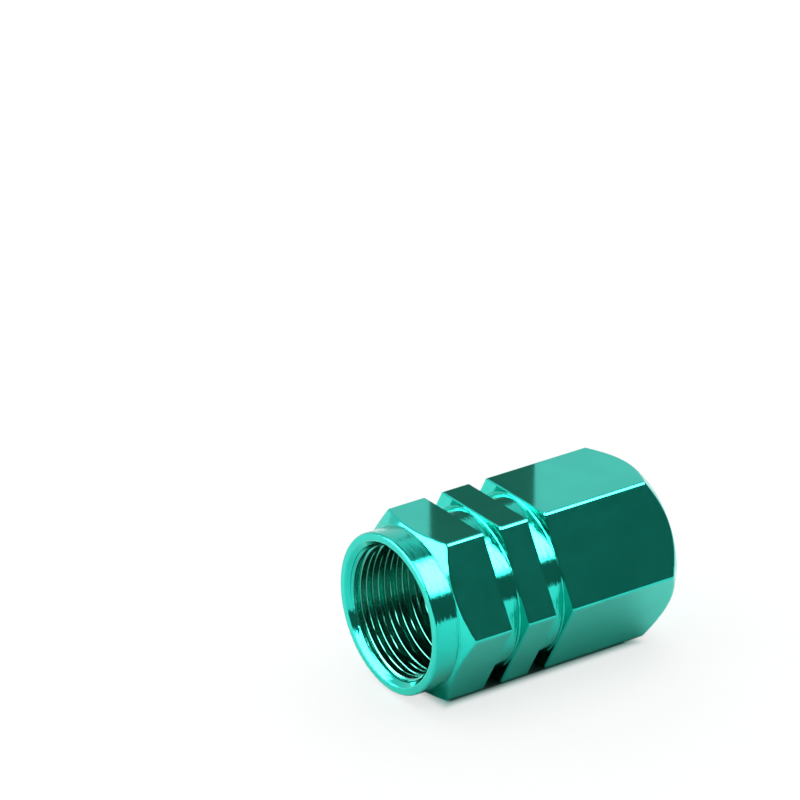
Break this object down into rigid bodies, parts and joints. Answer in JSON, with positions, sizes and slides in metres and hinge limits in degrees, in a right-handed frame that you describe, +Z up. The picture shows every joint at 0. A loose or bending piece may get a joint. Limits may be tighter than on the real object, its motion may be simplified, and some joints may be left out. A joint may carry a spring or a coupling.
{
  "type": "tyre valve cap",
  "caption": "Hexagonal aluminium tyre valve cap with a turned collar, square grooves, a chamfered closed end, a threaded blind bore and a rubber sealing washer.",
  "frame": {"origin": "on the surface the cap lies on, under the middle of its overall length", "axes": "+X along the cap's axis from the open mouth to the closed end, +Z up, square to the flat on top"},
  "size_m": [0.0162, 0.011, 0.0095],
  "materials": {
    "anodised_aluminium": "polished, green anodised",
    "black_rubber": "matt"
  },
  "bodies": {
    "root": {"cap_body": "anodised_aluminium", "sealing_washer": "black_rubber"}
  },
  "joints": []
}
